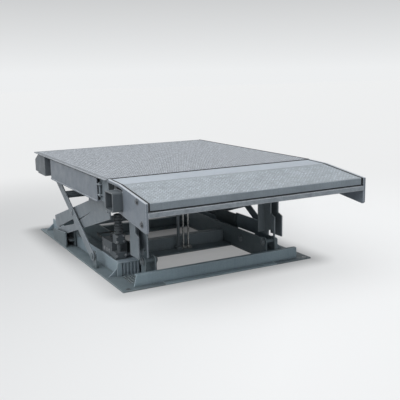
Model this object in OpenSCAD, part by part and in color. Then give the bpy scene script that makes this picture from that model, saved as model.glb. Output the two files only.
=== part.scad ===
// Scissor dock leveler: a tread-plate deck on crossed arms over a floor frame,
// with a hinged lip between side cheeks and two support legs under its front.
// Origin: floor level, centre of the width, straight below the lip hinge.
// X runs across the width, Y runs to the rear, Z is up.

/* [Deck] */
// Width of the deck
deck_w = 2000; // [1900:10:2200]
// Length of the deck from the lip hinge to its rear edge
deck_l = 2158; // [2100:1:2300]
// Thickness of the deck plate
deck_t = 10; // [8:1:14]
// Gap between the hinge axis and the edge of each plate
hinge_gap = 14; // [13:0.5:16]
// Depth of the side skirts below the deck surface
skirt_depth = 218; // [205:1:235]
// Thickness of the skirt plate
skirt_t = 10; // [6:1:14]
// Distance of the skirt plate inside the rim's outer edge
skirt_setback = 15; // [10:1:20]
// Width of the flange along the foot of the skirt
skirt_flange = 38; // [30:1:44]
// Width of the flange outside the skirt plate
skirt_toe = 5; // [0:1:12]
// Distance from the hinge to the front end of the skirt
skirt_front = 245; // [230:1:300]
// Distance from the hinge to the rear end of the skirt
skirt_rear = 1600; // [1500:1:1630]
// Distance from the hinge to the front face of the rear block
block_front = 1822; // [1790:1:1850]
// Distance that the rear block stands out behind the deck
block_overhang = 40; // [0:1:60]
// Number of stringers under the deck plate
stringer_count = 6; // [4:2:8]
// Depth of a stringer
stringer_depth = 110; // [80:1:120]
// Thickness of a stringer
stringer_t = 10; // [6:1:14]

/* [Front header] */
// Distance from the hinge to the header's front face
header_front = 60; // [55:1:80]
// Width of the header's flanges
header_flange = 110; // [90:1:130]
// Thickness of the header's web and flanges
header_t = 10; // [8:1:14]
// Thickness of the plate on each end of the header
header_plate_t = 8; // [6:1:10]
// Gap between the header's end plate and the lip cheek
header_clear = 10; // [8:1:14]

/* [Lip] */
// Reach of the lip in front of the hinge
lip_reach = 735; // [650:1:760]
// Length of the plain strip behind the bend
lip_strip = 250; // [200:1:280]
// Drop of the lip surface at the bend
bend_drop = 8; // [0:1:20]
// Drop of the lip surface at the nose
nose_drop = 70; // [50:1:80]
// Thickness of the lip plate
lip_t = 12; // [10:1:16]
// Height of the turned-down nose
nose_h = 62; // [50:1:70]
// Gap between the lip plate and each cheek
lip_side_gap = 10; // [6:1:14]
// Thickness of a lip cheek
cheek_t = 20; // [12:1:24]
// Height of a cheek at its front end
cheek_h = 214; // [180:1:220]
// Depth of the ribs under the lip
lip_rib_depth = 42; // [30:1:48]
// Number of ribs under the lip
lip_rib_count = 7; // [5:1:9]
// Height of the bar under the nose
nose_bar_h = 37; // [30:1:40]
// Width of the bar under the nose
nose_bar_w = 55; // [40:1:60]
// Length of the box that stands out of each cheek
side_box_l = 81; // [60:1:90]
// Width of the side box along the cheek
side_box_w = 162; // [140:1:170]
// Height of the side box
side_box_h = 148; // [130:1:150]
// Wall of the side box
side_box_wall = 10; // [6:1:12]
// Distance from the hinge to the side box
side_box_back = 166; // [160:1:180]
// Radius of the hinge barrel
barrel_r = 12; // [11:0.5:12.5]
// Radius of the hinge pin
hinge_pin_r = 6; // [5:0.5:7]
// Number of hinge knuckles
knuckle_count = 11; // [7:2:15]

/* [Scissor] */
// Half the distance between an arm's end pivots
arm_half = 601; // [590:1:612]
// Slope of the arms at rest
arm_angle = 29.8; // [29:0.1:31]
// Distance from the hinge to the arms' crossing pivot
scissor_y = 1156; // [1146:1:1170]
// Height of the arms' lower pivots
pivot_z = 125; // [118:1:135]
// Height of the deck surface above the arms' upper pivots
pivot_drop = 186; // [176:1:196]
// Thickness of a lift arm
arm_t = 16; // [12:1:20]
// Slope of a lift arm's plate at rest
arm_slope = 17; // [15:0.5:19]
// Height of a lift arm's plate above the crossing pivot
arm_above = 52; // [46:1:60]
// Depth of a lift arm's plate below the crossing pivot
arm_below = 170; // [160:1:180]
// Length of a lift arm behind the crossing pivot
arm_back = 712; // [690:1:730]
// Length of a lift arm in front of the crossing pivot
arm_front = 985; // [900:1:990]
// Height of a lift arm's front end
arm_nose_h = 165; // [150:1:170]
// Length of the teardrop window in a lift arm
window_l = 505; // [450:1:515]
// Distance from the crossing pivot to the window
window_in = 95; // [90:1:110]
// Distance of the window below the crossing pivot
window_drop = 80; // [76:1:86]
// Radius of the window's round end
window_r = 25; // [18:1:30]
// Half the height of the window at its narrow end
window_tip = 4; // [3:1:8]
// Thickness of a cross bar
bar_t = 12; // [10:1:16]
// Width of a cross bar
bar_w = 84; // [70:1:90]
// Gap between a lift arm and its cross bar
arm_gap = 12; // [10:1:14]
// Gap between a cross bar and the skirt plate
bar_clear = 49; // [46:1:56]
// Radius of the pivot pins
pin_r = 18; // [14:1:22]
// Radius of the track rollers
roller_r = 42; // [36:1:46]
// Width of a track roller
roller_w = 38; // [30:1:40]
// Height of the rear brackets at their front end
bracket_h = 158; // [150:1:165]
// Height of the rear brackets at their rear end
bracket_rear_h = 112; // [105:1:125]
// Length of a rear bracket in front of its roller
bracket_fore = 240; // [235:1:260]
// Length of a rear bracket behind its roller
bracket_aft = 188; // [150:1:200]
// Distance of the arms' tie tube below the crossing pivot
tie_drop = 110; // [104:1:116]
// Radius of the tubes that tie the arms together
tie_r = 35; // [28:1:40]
// Wall of the tie tubes
tie_wall = 6; // [4:1:8]

/* [Base] */
// Distance from the hinge to the base's front edge
base_front = 110; // [100:1:130]
// Distance from the hinge to the base's rear edge
base_rear = 2380; // [2300:1:2450]
// Width of the base outside the cross bars
base_margin = 4; // [2:1:20]
// Thickness of the sole plates
sole_t = 12; // [10:1:16]
// Width of each sole plate
sole_w = 380; // [370:1:400]
// Distance from the base's outer edge to the outer web
outer_web_in = 120; // [116:1:126]
// Height of the outer web
outer_web_h = 120; // [100:1:130]
// Height of the inner web
inner_web_h = 185; // [170:1:195]
// Distance from the sole's inner edge to the inner web
inner_web_in = 2; // [0:1:4]
// Thickness of the base webs
web_t = 10; // [8:1:14]
// Distance from the hinge to the front end of the outer webs
web_front = 285; // [270:1:300]
// Distance from the base's rear edge to the rear end of the webs
web_back = 100; // [80:1:120]
// Height of the raised part of the right outer web
crest_h = 233; // [200:1:236]
// Distance from the hinge to the front end of the raised part
crest_front = 460; // [440:1:500]
// Distance from the hinge to the rear end of the raised part
crest_rear = 1000; // [960:1:1010]
// Length of the slope at each end of the raised part
crest_slope = 60; // [50:1:80]
// Height of the window under the raised part
crest_window_h = 62; // [50:1:66]
// Length of the window under the raised part
crest_window_l = 330; // [300:1:340]
// Distance from the raised part's front end to the window
crest_window_in = 180; // [170:1:190]
// Height of the front and rear sills
sill_h = 98; // [80:1:105]
// Width of a sill's top flange
sill_flange = 40; // [30:1:50]
// Width of the plate under the front sill
sill_foot = 140; // [130:1:160]
// Distance from the base's front edge to the front sill's web
sill_in = 60; // [50:1:70]
// Distance from the hinge to the rear sill's web
rear_sill_y = 1717; // [1690:1:1740]
// Width of the plate under the rear sill
rear_sill_foot = 97; // [80:1:110]
// Radius of an anchor hole
anchor_r = 11; // [8:0.5:14]
// Distance from the base's sides to the anchor holes
anchor_side = 55; // [45:1:60]
// Distance from the base's ends to the anchor holes
anchor_end = 30; // [25:1:35]
// Distance from the hinge to the middle beam's web
mid_beam_y = 850; // [830:1:870]
// Height of the middle beam
mid_beam_h = 113; // [100:1:130]
// Width of the plate under the middle beam
mid_beam_foot = 184; // [170:1:190]
// Width of the middle beam's top flange
mid_beam_flange = 90; // [70:1:110]

/* [Support legs] */
// Distance from the deck's side edge to a leg's inner plate
leg_in = 371; // [365:1:380]
// Gap between a leg's two plates
leg_gap = 68; // [60:1:80]
// Thickness of a leg's plates
leg_t = 12; // [8:1:14]
// Distance from the hinge to the front edge of a leg's foot
leg_front = 48; // [40:1:56]
// Distance from the hinge to the front edge of a leg's shank
leg_shank = 110; // [80:1:130]
// Distance from the hinge to the rear edge of a leg
leg_rear = 225; // [200:1:240]
// Height of the shoulder on a leg's plates
leg_shoulder = 422; // [380:1:460]
// Height of a leg's foot
leg_foot = 205; // [195:1:215]
// Reach of the flange on a leg's inner side
leg_flange = 64; // [40:1:70]
// Height of the pin that a leg drops over
foot_pin_z = 165; // [155:1:170]
// Radius of the pin that a leg drops over
foot_pin_r = 18; // [14:1:22]
// Radius of a leg's arch
arch_r = 42; // [38:1:44]
// Height of a leg's arch above the pin when the deck stands as shown
foot_rise = 71; // [71:1:80]
// Gap between a leg and the lug beside it
lug_gap = 6; // [5:1:10]
// Thickness of a foot lug
lug_t = 12; // [8:1:14]

/* [Rams and power pack] */
// Distance of the first ram to the right of the centre line
ram_x = 68; // [60:1:80]
// Distance between the rams
ram_spacing = 54; // [54:1:64]
// Distance of the rams in front of the middle beam's web
ram_fore = 55; // [50:1:60]
// Radius of a ram's rod
rod_r = 10; // [8:1:14]
// Radius of the guide post beside the rams
post_r = 15; // [12:1:18]
// Radius of a ram's barrel
ram_barrel_r = 24; // [20:1:26]
// Length of a ram's barrel
ram_barrel_l = 440; // [420:1:460]
// Width of the oil tank
tank_w = 176; // [150:1:180]
// Length of the oil tank
tank_l = 430; // [380:1:450]
// Height of the oil tank
tank_h = 116; // [90:1:120]
// Radius of the pump motor over its fins
motor_r = 38; // [34:1:44]
// Height of the finned part of the pump motor
motor_h = 176; // [140:1:190]
// Number of fins on the pump motor
fin_count = 7; // [6:1:9]

/* [Clearances] */
// Running clearance of a pin in its bore, on the radius
run_clear = 0.05; // [0.02:0.01:0.1]
// Side play of the crossing pin on its cross bar
pin_play = 0.5; // [0.3:0.1:1]
// Gap between a roller and its track
track_gap = 0.5; // [0.3:0.1:1]
// Side gap beside the pivots and rollers
side_gap = 8; // [6:1:9]

/* [Hidden] */
$fn = 64;

paint = "#7d868d";
paint_dark = "#4a5157";
tread = "#a9b1b8";
steel = "#c4c8cc";

half_w = deck_w / 2;
leg_x = half_w - leg_in;
web_rear = base_rear - web_back;
rear_y = scissor_y + arm_half * cos(arm_angle);
front_y = scissor_y - arm_half * cos(arm_angle);
high_z = pivot_z + 2 * arm_half * sin(arm_angle);
deck_top = high_z + pivot_drop;
deck_under = deck_top - deck_t;
skirt_out = half_w - skirt_setback;
skirt_in = skirt_out - skirt_t;
skirt_foot = deck_top - skirt_depth;
bar_out = skirt_in - bar_clear;
bar_in = bar_out - bar_t;
arm_out = bar_in - arm_gap;
arm_in = arm_out - arm_t;
base_half = bar_out + base_margin;
sole_in = base_half - sole_w;
outer_web_x = base_half - outer_web_in;
inner_web_x = sole_in + inner_web_in;
hinge_z = deck_top - hinge_gap;
cheek_out = skirt_out;
cheek_in = cheek_out - cheek_t;
lip_half = cheek_in - lip_side_gap;
header_half = cheek_in - header_clear - header_plate_t;
header_rear = header_front + header_flange;
arm_roll_x = arm_in - side_gap;
bar_roll_x = bar_in - side_gap;
max_lift = 15;
max_drop = 3.5;
roll_near_y = front_y + 2 * arm_half * cos(arm_angle + max_lift);
roll_far_y = front_y + 2 * arm_half * cos(arm_angle - max_drop);

// A box given by its low and high corners
module slab(low, high) {
  translate(low)
    cube(high - low);
}

// A plate that stands in the YZ plane, from x0 outwards
module plate_yz(x0, t) {
  translate([x0, 0, 0])
    rotate([90, 0, 90])
      linear_extrude(t)
        children();
}

// A round bar along X
module rod_x(x0, x1, y, z, r) {
  translate([x0, y, z])
    rotate([0, 90, 0])
      cylinder(h = x1 - x0, r = r);
}

// A round tube along X
module tube_x(x0, x1, y, z, r, wall) {
  difference() {
    rod_x(x0, x1, y, z, r);
    rod_x(x0 - 1, x1 + 1, y, z, r - wall);
  }
}

// Everything is drawn on the right, and mirrored for the left
module on_side(side) {
  if (side < 0)
    mirror([1, 0, 0])
      children();
  else
    children();
}

// A rectangle with round corners
module round_rect(w, h, r) {
  translate([r, 0])
    square([w - 2 * r, h]);
  translate([0, r])
    square([w, h - 2 * r]);
  for (x = [r, w - r], y = [r, h - r])
    translate([x, y])
      circle(r);
}

// A slot with round ends along X
module slot(x0, x1, r) {
  translate([x0, -r])
    square([x1 - x0, 2 * r]);
  for (x = [x0, x1])
    translate([x, 0])
      circle(r);
}

// The plane of a cross bar, X along the bar from its lower roller
module along_bar() {
  translate([front_y, pivot_z])
    rotate(arm_angle)
      children();
}

// DECK

module deck_plate() {
  color(tread)
    slab([-half_w, hinge_gap, deck_under], [half_w, deck_l, deck_top]);
}

// Skirt plate with a flange along its foot
module skirt(side) {
  color(paint)
    on_side(side) {
      slab([skirt_in, skirt_front, skirt_foot], [skirt_out, skirt_rear, deck_under]);
      slab([skirt_out - skirt_flange, skirt_front, skirt_foot],
        [skirt_out + skirt_toe, skirt_rear, skirt_foot + skirt_t]);
    }
}

block_drop = 72;
block_slope = 150;
block_rise = 14;
block_w = 70;
rear_beam_w = 60;

module rear_blocks() {
  block_rear = deck_l + block_overhang;
  color(paint)
    for (side = [-1, 1])
      on_side(side)
        plate_yz(skirt_out - block_w, block_w)
          polygon([
            [block_front, skirt_foot],
            [deck_l - rear_beam_w, skirt_foot],
            [deck_l - rear_beam_w, skirt_foot + block_rise],
            [block_rear, skirt_foot + block_rise],
            [block_rear, deck_under - block_drop],
            [block_rear - block_slope, deck_under],
            [block_front, deck_under]
          ]);
}

module rear_beam() {
  beam_half = skirt_out - block_w;
  color(paint_dark)
    difference() {
      slab([-beam_half, deck_l - rear_beam_w, skirt_foot], [beam_half, deck_l, deck_under]);
      slab([-beam_half - 1, deck_l - rear_beam_w - 1, skirt_foot + skirt_t],
        [beam_half + 1, deck_l - skirt_t, deck_under - skirt_t]);
    }
}

stringer_reach = 760;

module deck_stringers() {
  pitch = 2 * stringer_reach / (stringer_count - 1);
  color(paint_dark)
    for (i = [0 : stringer_count - 1])
      translate([-stringer_reach + i * pitch - stringer_t / 2, 0, 0])
        slab([0, header_rear, deck_under - stringer_depth],
          [stringer_t, deck_l - rear_beam_w, deck_under]);
}

// Channel under the deck's front edge, open to the rear
module front_header() {
  color(paint_dark)
    difference() {
      slab([-header_half, header_front, skirt_foot],
        [header_half, header_rear, deck_under]);
      slab([-header_half - 1, header_front + header_t, skirt_foot + header_t],
        [header_half + 1, header_rear + 1, deck_under - header_t]);
    }
}

header_plate_lap = 80;
latch_reach = skirt_out - header_half - header_plate_t;
latch_l = 54;
latch_t = 10;
latch_pin_r = 9;
latch_gap = 8;
latch_low_part = 0.7;
latch_high_part = 0.3;
latch_low = deck_under - latch_low_part * skirt_depth;
latch_high = deck_under - latch_high_part * skirt_depth;

// End plate of the header with a small two-lug bracket on its outer face
module header_plates() {
  latch_y = skirt_front - latch_l - latch_gap;
  latch_x = header_half + header_plate_t;
  color(paint)
    for (side = [-1, 1])
      on_side(side) {
        plate_yz(header_half, header_plate_t)
          polygon([
            [header_front, deck_under],
            [header_front, skirt_foot],
            [header_rear, skirt_foot],
            [header_rear, skirt_foot + skirt_t],
            [skirt_front + header_plate_lap, skirt_foot + skirt_t],
            [skirt_front + header_plate_lap, deck_under]
          ]);
        for (z = [latch_low, latch_high])
          slab([latch_x - 1, latch_y, z], [latch_x + latch_reach, latch_y + latch_l, z + latch_t]);
        translate([latch_x + latch_reach / 2, latch_y + latch_l / 2, latch_low - latch_t])
          cylinder(h = latch_high - latch_low + 3 * latch_t, r = latch_pin_r);
      }
}

// LEGS

arch_z = foot_pin_z + foot_rise;
arch_margin = 18;
foot_y = leg_front + arch_margin + arch_r;
shoulder_drop = 22;
leg_out = leg_x + 2 * leg_t + leg_gap;
leg_web_lift = 30;
leg_web_foot = leg_foot + leg_web_lift;

// Side plate of a leg with a shoulder, welded under and behind the header
module leg_profile() {
  polygon([
    [leg_front, leg_foot],
    [leg_front, leg_shoulder - shoulder_drop],
    [leg_shank, leg_shoulder],
    [leg_shank, skirt_foot],
    [header_rear, skirt_foot],
    [header_rear, deck_under],
    [leg_rear, deck_under],
    [leg_rear, leg_foot]
  ]);
}

// Two side plates on a rear web; the inner plate drops over the foot bar
module leg(side) {
  color(paint)
    on_side(side) {
      plate_yz(leg_x, leg_t)
        difference() {
          leg_profile();
          translate([foot_y, arch_z])
            circle(arch_r);
          translate([foot_y - arch_r, leg_foot - 1])
            square([2 * arch_r, arch_z - leg_foot + 1]);
        }
      plate_yz(leg_out - leg_t, leg_t)
        leg_profile();
      slab([leg_x - leg_flange, leg_rear - leg_t, leg_web_foot], [leg_out - 1, leg_rear, deck_under]);
    }
}

lug_r = 42;
bar_proud = 8;

// Lug with a round top that carries the foot bar
module foot_lug(x0) {
  plate_yz(x0, lug_t)
    union() {
      translate([foot_y, foot_pin_z])
        circle(lug_r);
      translate([foot_y - lug_r, sole_t])
        square([2 * lug_r, foot_pin_z - sole_t]);
    }
}

module foot_stand(side) {
  inner = inner_web_x;
  outer = leg_x + leg_t + lug_gap;
  color(paint)
    on_side(side) {
      foot_lug(inner);
      foot_lug(outer);
      rod_x(inner - bar_proud, outer + lug_t + bar_proud, foot_y, foot_pin_z, foot_pin_r);
    }
}

// UPPER TRACKS AND LUGS

track_t = 10;
track_overrun = 70;
track_top = high_z + roller_r + track_gap;

// Angle under the deck that the bars' rollers bear on
module upper_tracks() {
  web_out = bar_roll_x - roller_w - side_gap;
  y0 = roll_near_y - track_overrun;
  y1 = roll_far_y + track_overrun;
  color(paint_dark)
    for (side = [-1, 1])
      on_side(side) {
        slab([web_out - track_t, y0, track_top], [web_out, y1, deck_under]);
        slab([web_out - 1, y0, track_top], [bar_roll_x, y1, track_top + track_t]);
      }
}

deck_lug_w = 130;
deck_lug_t = 12;
deck_lug_rim = 16;
deck_lug_r = pin_r + deck_lug_rim;

module deck_lug_plate(x0) {
  plate_yz(x0, deck_lug_t)
    union() {
      translate([front_y, high_z])
        circle(deck_lug_r);
      polygon([
        [front_y - deck_lug_r, high_z],
        [front_y + deck_lug_r, high_z],
        [front_y + deck_lug_w / 2, deck_under],
        [front_y - deck_lug_w / 2, deck_under]
      ]);
    }
}

// Lugs under the deck that the arms' front ends hang on
module deck_lugs() {
  inner = arm_in - side_gap - deck_lug_t;
  outer = arm_out + side_gap;
  color(paint_dark)
    for (side = [-1, 1])
      on_side(side) {
        deck_lug_plate(inner);
        deck_lug_plate(outer);
        rod_x(inner, outer + deck_lug_t, front_y, high_z, pin_r);
      }
}

// LIP

knuckle_play = 2;
knuckle_l = 2 * lip_half / knuckle_count;
knuckle_root = 34;

// One knuckle of the lip hinge, joined to the plate on the given side of the axis
module knuckle(i, side, plate_low, bore_r) {
  x0 = -lip_half + i * knuckle_l + knuckle_play / 2;
  x1 = x0 + knuckle_l - knuckle_play;
  edge = side * hinge_gap;
  root = side * knuckle_root;
  difference() {
    union() {
      rod_x(x0, x1, 0, hinge_z, barrel_r);
      slab([x0, min(0, edge), hinge_z - barrel_r], [x1, max(0, edge), hinge_z + barrel_r / 2]);
      slab([x0, min(0, root), hinge_z - barrel_r], [x1, max(0, root), plate_low]);
    }
    if (bore_r > 0)
      rod_x(x0 - 1, x1 + 1, 0, hinge_z, bore_r);
  }
}

module deck_knuckles() {
  color(paint) {
    for (i = [0 : 2 : knuckle_count - 1])
      knuckle(i, 1, deck_under, 0);
    rod_x(-lip_half, lip_half, 0, hinge_z, hinge_pin_r);
  }
}

module lip_knuckles() {
  color(paint)
    for (i = [1 : 2 : knuckle_count - 1])
      knuckle(i, -1, deck_top - lip_t - lip_drop(knuckle_root), hinge_pin_r + run_clear);
}

// Drop of the lip's surface at a distance in front of the hinge
function lip_drop(y) =
  y < lip_strip
  ? bend_drop * (y - hinge_gap) / (lip_strip - hinge_gap)
  : bend_drop + (nose_drop - bend_drop) * (y - lip_strip) / (lip_reach - lip_strip);

// The lip's surface as points from the hinge to the nose, lowered by d
function lip_line(d, y_first, y_last) = [
  [-y_first, deck_top - lip_drop(y_first) - d],
  [-lip_strip, deck_top - bend_drop - d],
  [-y_last, deck_top - lip_drop(y_last) - d]
];

function backwards(list) = [for (i = [len(list) - 1 : -1 : 0]) list[i]];

module lip_plate() {
  nose_top = deck_top - nose_drop;
  color(tread)
    plate_yz(-lip_half, 2 * lip_half)
      union() {
        polygon(concat(lip_line(0, hinge_gap, lip_reach),
          backwards(lip_line(lip_t, hinge_gap, lip_reach))));
        translate([-lip_reach, nose_top - nose_h])
          square([lip_t, nose_h]);
      }
}

rib_t = 10;
rib_start = knuckle_root + 26;
rib_foot = 24;
rib_inset = 120;
outrigger_y = 110;
outrigger_w = 50;

module lip_ribs() {
  reach = lip_half - rib_inset;
  pitch = 2 * reach / (lip_rib_count - 1);
  rib_end = lip_reach - lip_t;
  color(paint_dark)
    for (i = [0 : lip_rib_count - 1])
      plate_yz(-reach + i * pitch - rib_t / 2, rib_t)
        union() {
          polygon(concat(lip_line(lip_t, rib_start, rib_end),
            backwards(lip_line(lip_t + lip_rib_depth, rib_start, rib_end))));
          translate([-rib_end, nose_bar_top])
            square([rib_foot, deck_top - lip_drop(rib_end) - lip_t - nose_bar_top]);
        }
}

// Short beams from the outer ribs that carry the cheeks
module lip_outriggers() {
  root = lip_half - rib_inset + rib_t / 2;
  low = deck_top - bend_drop - lip_t - lip_rib_depth;
  color(paint_dark)
    for (side = [-1, 1])
      on_side(side)
        slab([root, -outrigger_y - outrigger_w, low],
          [cheek_in, -outrigger_y, low + lip_rib_depth]);
}

nose_bar_gap = 4;
nose_bar_proud = 12;
nose_bar_top = deck_top - nose_drop - nose_h - nose_bar_gap;

module nose_bar() {
  front = -lip_reach - nose_bar_proud;
  color(paint)
    slab([-cheek_in, front, nose_bar_top - nose_bar_h], [cheek_in, front + nose_bar_w, nose_bar_top]);
}

cheek_rise = 3;
cheek_rear = 20;
cheek_strip = 18;
cheek_front = lip_reach + nose_bar_proud;
cheek_nose = 12;
cheek_rake = 60;

// Cheek plate: a thin strip at the hinge, and a deep plate from the side box to the nose
module cheek(side) {
  foot = deck_top - nose_drop - cheek_h;
  box_rear = side_box_back - side_box_wall;
  box_front = side_box_back + side_box_w;
  color(paint)
    on_side(side)
      plate_yz(cheek_in, cheek_t)
        polygon(concat(lip_line(-cheek_rise, cheek_rear, cheek_front), [
          [-cheek_front, foot + cheek_nose],
          [-cheek_front + cheek_nose, foot],
          [-lip_strip, foot + cheek_rake],
          [-box_rear, foot + cheek_rake + cheek_nose],
          [-box_rear, side_box_top],
          [-box_front, side_box_top],
          [-box_front, deck_top - lip_drop(box_front) - cheek_strip],
          [-lip_strip, deck_top - bend_drop - cheek_strip],
          [-cheek_rear, deck_top - cheek_strip]
        ]));
}

side_box_drop = 52;
side_box_top = deck_top - side_box_drop;

module side_box(side) {
  inner_w = side_box_w - 2 * side_box_wall;
  inner_h = side_box_h - 2 * side_box_wall;
  color(paint)
    on_side(side)
      plate_yz(cheek_out, side_box_l)
        translate([-side_box_back - side_box_w, side_box_top - side_box_h])
          difference() {
            round_rect(side_box_w, side_box_h, 1.5 * side_box_wall);
            translate([side_box_wall, side_box_wall])
              round_rect(inner_w, inner_h, side_box_wall / 2);
          }
}

// LIFT ARMS

pin_head_t = 8;
pin_head_rim = 9;
pin_head_r = pin_r + pin_head_rim;
axle_proud = 2;
arm_ear_r = 56;
mid_z = pivot_z + arm_half * sin(arm_angle);
arm_tilt = arm_angle - arm_slope;
pivot_along = arm_half * cos(arm_tilt);
pivot_off = arm_half * sin(arm_tilt);

// The plane of a lift arm's plate, X to the front from the crossing pivot
module along_arm() {
  translate([scissor_y, mid_z])
    rotate(180 - arm_slope)
      mirror([0, 1])
        children();
}

slit_part = 0.8;

module lift_arm_outline() {
  difference() {
    union() {
      polygon([
        [-arm_back, arm_above],
        [pivot_along - 2 * arm_ear_r, arm_above],
        [pivot_along - arm_ear_r, pivot_off],
        [pivot_along + arm_ear_r, pivot_off],
        [pivot_along + 2 * arm_ear_r, arm_above / 4],
        [arm_front, arm_nose_h - arm_below],
        [arm_front - arm_nose_h / 4, -arm_below],
        [2 * arm_ear_r - pivot_along, -arm_below],
        [-pivot_along, -pivot_off - arm_ear_r],
        [-pivot_along - arm_ear_r, -pivot_off],
        [-arm_back, -arm_above / 2]
      ]);
      for (end = [-1, 1])
        translate([end * pivot_along, end * pivot_off])
          circle(arm_ear_r);
    }
    translate([pivot_along, pivot_off])
      circle(pin_r + run_clear);
    // Teardrop window behind the crossing pivot
    translate([-window_in, -window_drop])
      circle(window_r);
    polygon([
      [-window_in, window_r - window_drop],
      [-window_in - window_l, window_tip - window_drop],
      [-window_in - window_l, -window_tip - window_drop],
      [-window_in, -window_r - window_drop]
    ]);
    // Slit in front of the crossing pivot
    polygon([
      [window_in, window_tip - window_drop],
      [window_in, -window_drop - window_r / 2],
      [window_in + slit_part * window_l, window_r - window_drop]
    ]);
  }
}

module lift_arm(side) {
  color(paint)
    on_side(side) {
      plate_yz(arm_in, arm_t)
        along_arm()
          lift_arm_outline();
      // Crossing pin with its collar and head
      rod_x(arm_out - 1, bar_in - pin_play, scissor_y, mid_z, pin_head_r);
      rod_x(arm_out - 1, bar_out + pin_play + 1, scissor_y, mid_z, pin_r);
      rod_x(bar_out + pin_play, bar_out + pin_play + pin_head_t, scissor_y, mid_z, pin_head_r);
      // Axle of the lower roller
      rod_x(arm_roll_x - roller_w - axle_proud, arm_in + 1, rear_y, pivot_z, pin_r);
    }
}

// Cross tube below the crossing pivot
module arm_tie_tube() {
  y = scissor_y - tie_drop * sin(arm_slope);
  z = mid_z - tie_drop * cos(arm_slope);
  color(paint_dark)
    tube_x(-arm_in, arm_in, y, z, tie_r, tie_wall);
}

// Pair of rollers at the rear, given by their outer faces and their height
module rollers(x1, z) {
  x0 = x1 - roller_w;
  color(steel)
    for (side = [-1, 1])
      on_side(side)
        difference() {
          rod_x(x0, x1, rear_y, z, roller_r);
          rod_x(x0 - 1, x1 + 1, rear_y, z, pin_r + run_clear);
        }
}

// CROSS BARS

bar_tie_part = 1.45;
bar_tie_at = bar_tie_part * arm_half;

module cross_bar_outline() {
  difference() {
    slot(0, 2 * arm_half, bar_w / 2);
    for (x = [0, arm_half])
      translate([x, 0])
        circle(pin_r + run_clear);
  }
}

module cross_bar(side) {
  color(paint)
    on_side(side) {
      plate_yz(bar_in, bar_t)
        along_bar()
          cross_bar_outline();
      // Axle of the upper roller
      rod_x(bar_roll_x - roller_w - axle_proud, bar_in + 1, rear_y, high_z, pin_r);
    }
}

module bar_tie_tube() {
  y = front_y + bar_tie_at * cos(arm_angle);
  z = pivot_z + bar_tie_at * sin(arm_angle);
  color(paint_dark)
    tube_x(-bar_in, bar_in, y, z, tie_r, tie_wall);
}

// BASE

module anchor_hole(y) {
  translate([base_half - anchor_side, y, -1])
    cylinder(h = sole_t + 2, r = anchor_r);
}

drain_l = 200;
drain_w = 14;
drain_count = 4;
drain_in = 34;
drain_back = 35;

module sole(side) {
  color(paint)
    on_side(side)
      difference() {
        slab([sole_in, -base_front, 0], [base_half, base_rear, sole_t]);
        anchor_hole(anchor_end - base_front);
        anchor_hole(base_rear - anchor_end);
        // Drain slots in front of the webs
        for (i = [0 : drain_count - 1])
          translate([outer_web_x - drain_in - i * 2 * drain_w, web_front - drain_l - drain_back, -1])
            cube([drain_w, drain_l, sole_t + 2]);
      }
}

gusset_l = 87;
gusset_h = 75;
gusset_t = 8;
gusset_in = 14;
crest_window_lift = 23;
post_w = 44;

// Outer webs with three-cornered stiffeners outside and a round-topped plate on the front end
// Raised part of the right outer web: a plate with sloping ends and a window at its foot
module web_crest() {
  crest_top = sole_t + crest_h;
  plate_yz(outer_web_x - web_t, web_t)
    difference() {
      polygon([
        [web_front, sole_t],
        [web_rear, sole_t],
        [web_rear, sole_t + outer_web_h],
        [crest_rear + crest_slope, sole_t + outer_web_h],
        [crest_rear, crest_top],
        [crest_front, crest_top],
        [crest_front - crest_slope, sole_t + outer_web_h],
        [web_front, sole_t + outer_web_h]
      ]);
      translate([crest_front + crest_window_in, sole_t + crest_window_lift])
        square([crest_window_l, crest_window_h]);
    }
}

module outer_webs() {
  color(paint)
    for (side = [-1, 1])
      on_side(side) {
        if (side > 0)
          web_crest();
        else
          slab([outer_web_x - web_t, web_front, sole_t],
            [outer_web_x, web_rear, sole_t + outer_web_h]);
        translate([outer_web_x - web_t / 2, web_front + 1, 0])
          rotate([90, 0, 0])
            linear_extrude(web_t) {
              translate([-post_w / 2, sole_t])
                square([post_w, outer_web_h - post_w / 2]);
              translate([0, sole_t + outer_web_h - post_w / 2])
                circle(post_w / 2);
            }
        for (y = [web_front + gusset_in, web_rear - gusset_in - gusset_t])
          translate([0, y + gusset_t, 0])
            rotate([90, 0, 0])
              linear_extrude(gusset_t)
                polygon([
                  [outer_web_x - 1, sole_t],
                  [outer_web_x + gusset_l, sole_t],
                  [outer_web_x, sole_t + gusset_h],
                  [outer_web_x - 1, sole_t + gusset_h]
                ]);
      }
}

module inner_webs() {
  color(paint)
    for (side = [-1, 1])
      on_side(side)
        slab([inner_web_x, foot_y + lug_r, sole_t],
          [inner_web_x + web_t, web_rear, sole_t + inner_web_h]);
}

sill_rake = 24;

// Front sill: an upright web with a raked left end, a top flange and a foot plate
module front_sill() {
  web_y = sill_in - base_front;
  color(paint) {
    translate([0, web_y + web_t, 0])
      rotate([90, 0, 0])
        linear_extrude(web_t)
          polygon([
            [-outer_web_x, sole_t],
            [outer_web_x, sole_t],
            [outer_web_x, sole_t + sill_h],
            [sill_rake - outer_web_x, sole_t + sill_h]
          ]);
    slab([sill_rake - outer_web_x, web_y, sole_t + sill_h - web_t],
      [outer_web_x, web_y + sill_flange, sole_t + sill_h]);
    slab([-sole_in, -base_front, 0], [sole_in, sill_foot - base_front, sole_t]);
  }
}

// Beam between the inner webs: an upright web, a flange to the rear and a foot plate to the front
module cross_beam(y, h, foot, flange) {
  slab([-inner_web_x, y, sole_t], [inner_web_x, y + web_t, sole_t + h]);
  slab([-inner_web_x, y, sole_t + h - web_t], [inner_web_x, y + flange, sole_t + h]);
  slab([-sole_in, y + web_t - foot, 0], [sole_in, y + web_t, sole_t]);
}

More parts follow.
